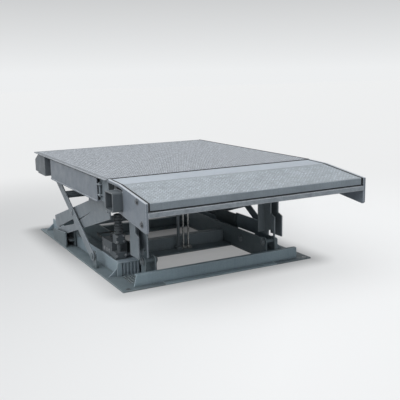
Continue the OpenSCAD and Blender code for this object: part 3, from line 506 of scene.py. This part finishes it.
arm_paint = sprayed_paint("arm_paint", (0.176, 0.205, 0.230), 0.46, 0.12, 0.09, 0.9)
dress(arm_paint, "left_lift_arm", "right_lift_arm", "left_cross_bar", "right_cross_bar")
dress(arm_paint, "arm_tie_tube", "bar_tie_tube")
roller_steel = bright_steel("roller_steel", (0.36, 0.37, 0.38), 0.42, 140.0)
dress(roller_steel, "upper_rollers", "lower_rollers")

arm_bolts = bmesh.new()
arm_face, arm_bolt_places = 0.902, ((0.252, 0.655), (0.236, 0.600))
for side in (-1, 1):
    for y, z in arm_bolt_places:
        hex_head(arm_bolts, (side * arm_face, y, z), (side, 0, 0), across=0.024, height=0.010)
keep_piece("arm_bolts", arm_bolts, arm_paint, "lift_arms", smooth=False)


# FOOT BOLTS
# Painted steel bolt heads on washers: they close both ends of each foot bar, and one more is set in
# the face of each inner web.

foot_bolts = bmesh.new()
bolt_w, bolt_h = 0.036, 0.012
inner_face, web_bolt_y, web_bolt_z = 0.550, 0.508, 0.108
for side in (-1, 1):
    stand_low, stand_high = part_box("left_foot_stand" if side < 0 else "right_foot_stand")
    bar_y = (stand_low.y + stand_high.y) / 2
    bar_z = stand_high.z - bar_y + stand_low.y
    near_x, far_x = sorted((abs(stand_low.x), abs(stand_high.x)))
    hex_head(foot_bolts, (side * near_x, bar_y, bar_z), (-side, 0, 0), bolt_w, bolt_h)
    hex_head(foot_bolts, (side * far_x, bar_y, bar_z), (side, 0, 0), bolt_w, bolt_h)
    hex_head(foot_bolts, (side * inner_face, web_bolt_y, web_bolt_z), (-side, 0, 0), bolt_w, bolt_h)
keep_piece("foot_bolts", foot_bolts, post_paint, "base", smooth=False)


# GREASE POINTS
# A small turned ring of plain steel on the outer end of each crossing pin, round the hole through
# which grease is pressed in.

crossing_y, crossing_z, pin_end = 1.156, 0.4237, 0.9345
point_r, point_hole_r, point_t = 0.012, 0.004, 0.003
grease_points = bmesh.new()
for side in (-1, 1):
    ring_washer(grease_points, (side * pin_end, crossing_y, crossing_z), (side, 0, 0),
                point_r, point_hole_r, point_t)
bmesh.ops.recalc_face_normals(grease_points, faces=grease_points.faces)
keep_piece("grease_points", grease_points, plain_steel, "lift_arms", smooth=False)


# UNDERFRAME OF THE DECK
# Stringers, header channel, rear beam, tracks and lugs of steel, welded under the deck plate; their paint
# is made dark as painted shade. The left leg, the header's plates and the hinge knuckles take a lighter
# copy as painted light, and the right leg a shaded copy.

dress(under_paint, "deck_stringers", "rear_beam", "upper_tracks", "deck_lugs", "front_header")
# a lighter copy of the leg paint on the left leg, header plates and knuckles: painted light
lit_leg_paint = sprayed_paint("lit_leg_paint", (0.196, 0.232, 0.260), 0.50, 0.12)
dress(lit_leg_paint, "left_leg", "header_plates", "deck_knuckles")
shaded_paint = sprayed_paint("shaded_paint", (0.195, 0.230, 0.254), 0.50, 0.12)
dress(shaded_paint, "right_leg")


# SKIRTS AND REAR BLOCKS
# Folded side skirts of smooth plate with a flange along the foot, and box-shaped bumper blocks at
# the rear corners; the best-seen paint on the machine, with a soft sheen.

skirt_paint = sprayed_paint("skirt_paint", (0.170, 0.198, 0.232), 0.42, 0.12, 0.05, 0.9)
dress(skirt_paint, "left_skirt", "right_skirt")
block_paint = sprayed_paint("block_paint", (0.124, 0.142, 0.160), 0.46, 0.12, 0.08)
dress(block_paint, "rear_blocks")


# DECK PLATE
# Rolled floor plate with raised oval studs set in turn at right angles, so that wheels grip, and a
# plain margin all round; the studs' tops are rubbed lighter than the plate between them.

deck_paint = sprayed_paint("deck_paint", (0.290, 0.318, 0.350), 0.50, dust=0.10, mottle=0.16, wear_and_highlight=1.0,
                           lit_and_trodden_top=(0.205, 0.224, 0.247), edge_r=0.010)
dress(deck_paint, "deck_plate")
stud_paint = sprayed_paint("stud_paint", (0.500, 0.536, 0.585), 0.34, dust=0.06, mottle=0.46, wear_and_highlight=0.0,
                           edge_r=0.002, grain=22.0)


def stud(bm, place, length, width, height):
    """One raised oval stud with a flat top; its foot is left open on the plate."""
    made = bmesh.ops.create_circle(bm, cap_ends=True, segments=8, radius=1.0,
                                   matrix=place @ Matrix.Diagonal((length / 2, width / 2, 1, 1)))["verts"]
    face = next(f for f in made[0].link_faces if set(f.verts) == set(made))
    raised = bmesh.ops.extrude_face_region(bm, geom=[face])["geom"]
    top = [v for v in raised if isinstance(v, bmesh.types.BMVert)]
    up = (place.to_3x3() @ Vector((0, 0, 1))).normalized()
    bmesh.ops.translate(bm, verts=top, vec=up * height)
    bmesh.ops.scale(bm, verts=top, vec=(0.72, 0.72, 1.0), space=Matrix.Translation(-place.translation))
    bmesh.ops.delete(bm, geom=[face], context="FACES_ONLY")


def stud_field(name, corner, along_x, along_y, count_x, count_y, body, paint):
    """Studs in a field of square cells, two to a cell and at right angles, over a flat panel."""
    stud_l, stud_w, stud_h = 0.026, 0.0085, 0.0018
    bm = bmesh.new()
    step_x, step_y = Vector(along_x), Vector(along_y)
    up = step_x.cross(step_y).normalized()
    turn = Matrix((step_x.normalized(), step_y.normalized(), up)).transposed().to_4x4()
    for i, angle in ((0, math.radians(45)), (1, math.radians(-45))):
        at = Vector(corner) + step_x * (0.25 + 0.5 * i) + step_y * (0.25 + 0.5 * i)
        stud(bm, Matrix.Translation(at) @ turn @ Matrix.Rotation(angle, 4, "Z"), stud_l, stud_w, stud_h)
    bmesh.ops.recalc_face_normals(bm, faces=bm.faces)
    piece = keep_piece(name, bm, paint, body, smooth=False)
    for label, count, step in (("across", count_x, step_x), ("along", count_y, step_y)):
        row = piece.modifiers.new(label, "ARRAY")
        row.count = count
        row.use_relative_offset = False
        row.use_constant_offset = True
        row.constant_offset_displace = step


deck_low, deck_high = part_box("deck_plate")
cell, side_margin, end_margin = 0.034, 0.025, 0.020
field_w = deck_high.x - deck_low.x - 2 * side_margin
field_l = deck_high.y - deck_low.y - 2 * end_margin
count_x, count_y = int(field_w / cell), int(field_l / cell)
stud_field("deck_studs", (-count_x * cell / 2, deck_low.y + end_margin, deck_high.z),
           (cell, 0, 0), (0, cell, 0), count_x, count_y, "platform", stud_paint)


# LIP
# The lip is the same floor plate, bent near the hinge: a smooth rolled strip where it hinges, a
# studded slope, and a nose bent down. Ribs and a bar along the nose stiffen it below.

# the lip's level faces take a lighter top colour than its nose front: painted light from above
lip_paint = sprayed_paint("lip_paint", (0.222, 0.262, 0.296), 0.48, dust=0.10, mottle=0.12,
                          lit_and_trodden_top=(0.335, 0.374, 0.408), edge_r=0.014)
dress(lip_paint, "lip_plate")
lip_stud_paint = sprayed_paint("lip_stud_paint", (0.440, 0.486, 0.534), 0.34, dust=0.06, mottle=0.50,
                               wear_and_highlight=0.0, edge_r=0.002, grain=22.0)
# ribs and outriggers under the lip take the underframe's dark paint: painted shade
dress(under_paint, "lip_ribs", "lip_outriggers")
# the nose bar's level faces take a much lighter top colour: painted light from above
nose_paint = sprayed_paint("nose_paint", (0.258, 0.292, 0.324), 0.46, dust=0.12, mottle=0.22, wear_and_highlight=1.0,
                           lit_and_trodden_top=(0.520, 0.560, 0.600), edge_r=0.012, grain=22.0)
dress(nose_paint, "nose_bar")
dress(lit_leg_paint, "lip_knuckles")

lip_low, lip_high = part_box("lip_plate")
bend_run, bend_drop, nose_drop = 0.236, 0.008, 0.070
bend_y, bend_z = -0.250, deck_high.z - bend_drop
nose_y, nose_z = lip_low.y, deck_high.z - nose_drop
slope = Vector((0, bend_y, bend_z)) - Vector((0, nose_y, nose_z))
slope_step = slope.normalized() * cell
lip_side_margins, slope_margins, nose_margin = 0.030, 0.020, 0.008
lip_count_x = int((lip_high.x - lip_low.x - lip_side_margins) / cell)
lip_count_y = int((slope.length - slope_margins) / cell)
first_stud = (-lip_count_x * cell / 2, nose_y + nose_margin, nose_z + nose_margin * slope.z / slope.y)
stud_field("lip_studs", first_stud, (cell, 0, 0), tuple(slope_step), lip_count_x, lip_count_y, "lip",
           lip_stud_paint)

strip_paint = sprayed_paint("strip_paint", (0.455, 0.508, 0.570), 0.42, 0.08, 0.08)
smooth_strip = bmesh.new()
strip_rear, strip_z, strip_t = -0.024, deck_high.z - 0.0035, 0.0012
strip_w, strip_l = lip_high.x - lip_low.x - 0.004, strip_rear - bend_y
tilt = math.atan2(bend_drop, bend_run)
bmesh.ops.create_grid(smooth_strip, x_segments=24, y_segments=4, size=0.5,
                      matrix=Matrix.Translation((0, (strip_rear + bend_y) / 2, strip_z)) @
                      Matrix.Rotation(tilt, 4, "X") @ Matrix.Diagonal((strip_w, strip_l, 1, 1)))
bmesh.ops.solidify(smooth_strip, geom=smooth_strip.faces[:], thickness=strip_t)
bmesh.ops.recalc_face_normals(smooth_strip, faces=smooth_strip.faces)
keep_piece("smooth_strip", smooth_strip, strip_paint, "lip", smooth=False)


# EDGE SHADOW STRIPS
# Black strips that paint the shade in narrow gaps: at each end of the lip beside its cheek, along the foot
# of the nose, along the right edge of the deck, and over its front edge at the hinge. A black bead paints
# the shadow in the corner under each rim.

# black standing in for the shade in gaps and under rims: painted shadow
shadow_strip_paint = sprayed_paint("shadow_strip_black", (0.012, 0.013, 0.014), 0.62, dust=0.08, mottle=0.2, wear_and_highlight=0.0)


def pull_profile(bm, corners, along):
    """A strip made by pulling a flat profile along a straight line."""
    face = bm.faces.new([bm.verts.new(c) for c in corners])
    pulled = bmesh.ops.extrude_face_region(bm, geom=[face])["geom"]
    bmesh.ops.translate(bm, verts=[g for g in pulled if isinstance(g, bmesh.types.BMVert)], vec=along)


lip_gap_shadow_strips = bmesh.new()
rear_y, lip_top, front_foot = -0.030, deck_high.z, nose_z - 0.058
fill = [(rear_y, lip_top - 0.001), (bend_y, bend_z - 0.001), (nose_y + 0.002, nose_z - 0.002),
        (nose_y + 0.002, front_foot), (nose_y + 0.020, front_foot), (nose_y + 0.024, nose_z - 0.020),
        (bend_y, bend_z - 0.024), (rear_y, lip_top - 0.024)]
cover = [(rear_y, lip_top + 0.0006), (bend_y, bend_z + 0.0012), (nose_y - 0.0012, nose_z + 0.0012),
         (nose_y - 0.0012, front_foot), (nose_y + 0.001, front_foot), (nose_y + 0.001, nose_z - 0.001),
         (bend_y, bend_z - 0.001), (rear_y, lip_top - 0.001)]
for side in (-1, 1):
    x = side * (lip_high.x + 0.0005)
    pull_profile(lip_gap_shadow_strips, [(x, y, z) for y, z in fill], (side * 0.009, 0, 0))
    x = side * (lip_high.x - 0.007)
    pull_profile(lip_gap_shadow_strips, [(x, y, z) for y, z in cover], (side * 0.0165, 0, 0))
nose_foot_shadow = [(nose_y - 0.0014, lip_low.z + 0.001), (nose_y + 0.004, lip_low.z + 0.001),
        (nose_y + 0.004, lip_low.z + 0.008), (nose_y - 0.0014, lip_low.z + 0.0075)]
nose_foot_shadow_inset = 0.008
pull_profile(lip_gap_shadow_strips, [(lip_low.x + nose_foot_shadow_inset, y, z) for y, z in nose_foot_shadow],
             (lip_high.x - lip_low.x - 2 * nose_foot_shadow_inset, 0, 0))
bmesh.ops.recalc_face_normals(lip_gap_shadow_strips, faces=lip_gap_shadow_strips.faces)
keep_piece("lip_gap_shadow_strips", lip_gap_shadow_strips, shadow_strip_paint, "lip", smooth=False)

right_edge_shadow_strip = bmesh.new()
edge_x, front_y, top_z = deck_high.x, deck_low.y, deck_high.z
edge_shadow_profile = [(edge_x - 0.012, top_z), (edge_x - 0.001, top_z), (edge_x - 0.002, top_z + 0.0022),
        (edge_x - 0.010, top_z + 0.0022)]
edge_shadow_inset = 0.004
pull_profile(right_edge_shadow_strip, [(x, front_y + edge_shadow_inset, z) for x, z in edge_shadow_profile],
             (0, deck_high.y - front_y - 2 * edge_shadow_inset, 0))
bmesh.ops.recalc_face_normals(right_edge_shadow_strip, faces=right_edge_shadow_strip.faces)
keep_piece("right_edge_shadow_strip", right_edge_shadow_strip, shadow_strip_paint, "platform", smooth=False)

hinge_shadow_strip = bmesh.new()
hinge_shadow_profile = [(front_y - 0.0012, top_z - 0.0065), (front_y, top_z - 0.0065), (front_y, top_z),
        (front_y + 0.002, top_z), (front_y + 0.002, top_z + 0.0005), (front_y - 0.0012, top_z + 0.0005)]
hinge_shadow_inset = 0.020
pull_profile(hinge_shadow_strip, [(deck_low.x + hinge_shadow_inset, y, z) for y, z in hinge_shadow_profile],
             (edge_x - deck_low.x - 2 * hinge_shadow_inset, 0, 0))
bmesh.ops.recalc_face_normals(hinge_shadow_strip, faces=hinge_shadow_strip.faces)
keep_piece("hinge_shadow_strip", hinge_shadow_strip, shadow_strip_paint, "platform", smooth=False)

rim_shadow_bead = bmesh.new()
skirt_low, skirt_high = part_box("right_skirt")
under_rim, skirt_face = skirt_high.z, edge_x - 0.015
bead = [(skirt_face, under_rim), (skirt_face + 0.009, under_rim), (skirt_face, under_rim - 0.011)]
for side in (-1, 1):
    pull_profile(rim_shadow_bead, [(side * x, skirt_low.y, z) for x, z in bead],
                 (0, skirt_high.y - skirt_low.y, 0))
bmesh.ops.recalc_face_normals(rim_shadow_bead, faces=rim_shadow_bead.faces)
keep_piece("rim_shadow_bead", rim_shadow_bead, shadow_strip_paint, "platform", smooth=False)


# CHEEKS AND SIDE BOXES
# Thick painted side plates welded to the lip's outriggers and nose bar. Each has a pressed box welded
# to its outer face and two hexagon bolts near the nose.

# the cheeks' top edges take a much lighter top colour: painted light from above
cheek_paint = sprayed_paint("cheek_paint", (0.190, 0.220, 0.256), 0.42, dust=0.12, mottle=0.06, wear_and_highlight=1.0,
                            lit_and_trodden_top=(0.560, 0.600, 0.650), edge_r=0.010)
dress(cheek_paint, "left_cheek", "right_cheek")
box_paint = sprayed_paint("box_paint", (0.086, 0.102, 0.115), 0.44, 0.12)
dress(box_paint, "left_side_box", "right_side_box")

cheek_face, cheek_bolt_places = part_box("right_cheek")[1].x, ((-0.600, 0.832), (-0.674, 0.680))
cheek_bolts = bmesh.new()
for side in (-1, 1):
    for y, z in cheek_bolt_places:
        hex_head(cheek_bolts, (side * cheek_face, y, z), (side, 0, 0), across=0.026, height=0.011)
bolt_paint = sprayed_paint("bolt_paint", (0.095, 0.108, 0.120), 0.28, dust=0.1, mottle=0.1, wear_and_highlight=1.0,
                           edge_r=0.003)
keep_piece("cheek_bolts", cheek_bolts, bolt_paint, "lip", smooth=False)

box_welds = bmesh.new()
box_low, box_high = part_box("right_side_box")
box_corner, bead_r = 0.016, 0.004
for side in (-1, 1):
    x = side * box_low.x
    for z in (box_low.z, box_high.z):
        weld_bead(box_welds, (x, box_low.y + box_corner, z), (x, box_high.y - box_corner, z), bead_r)
    for y in (box_low.y, box_high.y):
        weld_bead(box_welds, (x, y, box_low.z + box_corner), (x, y, box_high.z - box_corner), bead_r)
keep_piece("box_welds", box_welds, box_paint, "lip")


# STUDIO
# A pale floor that fades into a pale surround, a broad soft key light from the upper left, a weak one
# from the front and a small softbox at the left. The floor's glow is raised to the right as painted light
# and lowered under the machine as painted shade.

def seen_directly(tree):
    """1 for what the camera sees, directly or in a reflection, and 0 for light that falls on things."""
    path = tree.nodes.new("ShaderNodeLightPath")
    total = None
    for name in ("Is Camera Ray", "Is Glossy Ray", "Is Transmission Ray"):
        if total is None:
            total = path.outputs[name]
            continue
        add = tree.nodes.new("ShaderNodeMath")
        add.operation = "ADD"
        add.use_clamp = True
        tree.links.new(total, add.inputs[0])
        tree.links.new(path.outputs[name], add.inputs[1])
        total = add.outputs[0]
    return total


def plus_math(tree, kind, a, b):
    """One step of arithmetic between two values, each a number or a socket."""
    step = tree.nodes.new("ShaderNodeMath")
    step.operation = kind
    for socket, value in ((step.inputs[0], a), (step.inputs[1], b)):
        if isinstance(value, float):
            socket.default_value = value
        else:
            tree.links.new(value, socket)
    return step.outputs[0]


def past(tree, value, half):
    """How far a value lies outside a span to both sides of zero."""
    size = plus_math(tree, "ABSOLUTE", value, 0.0)
    return plus_math(tree, "MAXIMUM", plus_math(tree, "SUBTRACT", size, half), 0.0)


floor_mat = bpy.data.materials.new("studio_floor")
floor_mat.use_nodes = True
tree = floor_mat.node_tree
shader = tree.nodes["Principled BSDF"]
shader.inputs["Roughness"].default_value = 0.9
shader.inputs["Specular IOR Level"].default_value = 0.1
coord = tree.nodes.new("ShaderNodeTexCoord")
shift = tree.nodes.new("ShaderNodeMapping")
shift.inputs["Location"].default_value = (0, -0.7, 0)
tree.links.new(coord.outputs["Object"], shift.inputs["Vector"])
reach = tree.nodes.new("ShaderNodeVectorMath")
reach.operation = "LENGTH"
tree.links.new(shift.outputs["Vector"], reach.inputs[0])
away = rerange(tree, reach.outputs["Value"], 2.0, 6.0, ease="SMOOTHSTEP")
place = tree.nodes.new("ShaderNodeSeparateXYZ")
tree.links.new(coord.outputs["Object"], place.inputs[0])
base_half_w, base_half_l, base_mid = 0.90, 1.22, 1.135
beside = past(tree, place.outputs["X"], base_half_w)
before = past(tree, plus_math(tree, "SUBTRACT", place.outputs["Y"], base_mid), base_half_l)
clear = plus_math(tree, "POWER", plus_math(tree, "ADD", plus_math(tree, "MULTIPLY", beside, beside),
                                           plus_math(tree, "MULTIPLY", before, before)), 0.5)
open_floor = rerange(tree, clear, 0.0, 0.30, ease="SMOOTHSTEP")
looked_at = seen_directly(tree)
near_tone = mix_colour(tree, "MIX", looked_at, (0.68, 0.685, 0.69), (0.33, 0.335, 0.34))
floor_tone = mix_colour(tree, "MIX", away, near_tone, (0.03, 0.03, 0.03))
tree.links.new(floor_tone, shader.inputs["Base Color"])
# the glow rises towards the right and the front, as painted light where the lamps' shadow falls, and drops
# under the machine as painted shade
glow_per_x, glow_per_y, glow_here, most_glow, far_glow = 0.058, -0.050, 0.520, 0.575, 0.81
lengthwise = plus_math(tree, "ADD", plus_math(tree, "MULTIPLY", place.outputs["Y"], glow_per_y), glow_here)
plane = plus_math(tree, "ADD", plus_math(tree, "MULTIPLY", place.outputs["X"], glow_per_x), lengthwise)
plane = plus_math(tree, "MINIMUM", plane, most_glow)
shade = rerange(tree, place.outputs["Y"], 0.50, 1.75, 0.27, 0.04)
covered = plus_math(tree, "SUBTRACT", 1.0, open_floor)
near_glow = plus_math(tree, "ADD", plus_math(tree, "MULTIPLY", plane, open_floor),
                      plus_math(tree, "MULTIPLY", shade, covered))
keep_near = plus_math(tree, "SUBTRACT", 1.0, away)
glow = plus_math(tree, "ADD", plus_math(tree, "MULTIPLY", near_glow, keep_near),
                 plus_math(tree, "MULTIPLY", away, far_glow))
shader.inputs["Emission Color"].default_value = (0.985, 0.995, 1.0, 1)
tree.links.new(plus_math(tree, "MULTIPLY", glow, looked_at), shader.inputs["Emission Strength"])

floor = bmesh.new()
bmesh.ops.create_grid(floor, x_segments=1, y_segments=1, size=60.0,
                      matrix=Matrix.Translation((0, 0, -0.001)))
mesh = bpy.data.meshes.new("studio_floor")
floor.to_mesh(mesh)
floor.free()
mesh.materials.append(floor_mat)
floor_obj = bpy.data.objects.new("studio_floor", mesh)
bpy.context.scene.collection.objects.link(floor_obj)

world = bpy.data.worlds.new("studio")
bpy.context.scene.world = world
world.use_nodes = True
tree = world.node_tree
surround = tree.nodes["Background"]
surround.inputs["Color"].default_value = (0.975, 0.99, 1.0, 1)
coord = tree.nodes.new("ShaderNodeTexCoord")
axes = tree.nodes.new("ShaderNodeSeparateXYZ")
tree.links.new(coord.outputs["Generated"], axes.inputs[0])
seen_glow = rerange(tree, axes.outputs["Z"], 0.0, 0.11, 0.87, 0.62)
strength = tree.nodes.new("ShaderNodeMapRange")
strength.inputs["To Min"].default_value = 0.40
tree.links.new(seen_glow, strength.inputs["To Max"])
tree.links.new(seen_directly(tree), strength.inputs["Value"])
tree.links.new(strength.outputs["Result"], surround.inputs["Strength"])


def soft_sun(name, towards, power, width):
    """A sun lamp as wide as an angle in degrees, shining from a direction."""
    lamp = bpy.data.lights.new(name, "SUN")
    lamp.energy = power
    lamp.angle = math.radians(width)
    obj = bpy.data.objects.new(name, lamp)
    bpy.context.scene.collection.objects.link(obj)
    obj.rotation_mode = "QUATERNION"
    obj.rotation_quaternion = (-Vector(towards)).to_track_quat("-Z", "Y")


soft_sun("key_from_upper_left", (-0.47, -0.13, 0.87), 1.86, 75)
soft_sun("fill_from_front", (-0.25, -0.92, 0.30), 0.58, 90)

box_lamp = bpy.data.lights.new("left_softbox", "AREA")
box_lamp.energy = 9.0
box_lamp.size = 1.6
box_light = bpy.data.objects.new("left_softbox", box_lamp)
bpy.context.scene.collection.objects.link(box_light)
box_light.location = (-2.3, -0.5, 2.3)
box_light.rotation_mode = "QUATERNION"
aimed_at = Vector((-0.5, 0.2, 0.8))
box_light.rotation_quaternion = (aimed_at - box_light.location).to_track_quat("-Z", "Y")

yaw, pitch, roll = 0.4906089, 0.1965214, -0.0180888
forward = Vector((math.sin(yaw) * math.cos(pitch), math.cos(yaw) * math.cos(pitch), -math.sin(pitch)))
level_right = Vector((math.cos(yaw), -math.sin(yaw), 0))
level_up = level_right.cross(forward)
right = math.cos(roll) * level_right + math.sin(roll) * level_up
up = -math.sin(roll) * level_right + math.cos(roll) * level_up
eye = bpy.data.cameras.new("camera")
focal_px, frame_px, sensor_mm = 652.9026, 400, 36.0
eye.sensor_width = sensor_mm
eye.lens = focal_px / frame_px * sensor_mm
camera = bpy.data.objects.new("camera", eye)
bpy.context.scene.collection.objects.link(camera)
stand = Vector((-2.71245, -4.77226, 1.7313))
camera.matrix_world = Matrix(((right.x, up.x, -forward.x, stand.x), (right.y, up.y, -forward.y, stand.y),
                              (right.z, up.z, -forward.z, stand.z), (0, 0, 0, 1)))
bpy.context.scene.camera = camera
bpy.context.scene.view_settings.view_transform = "Standard"
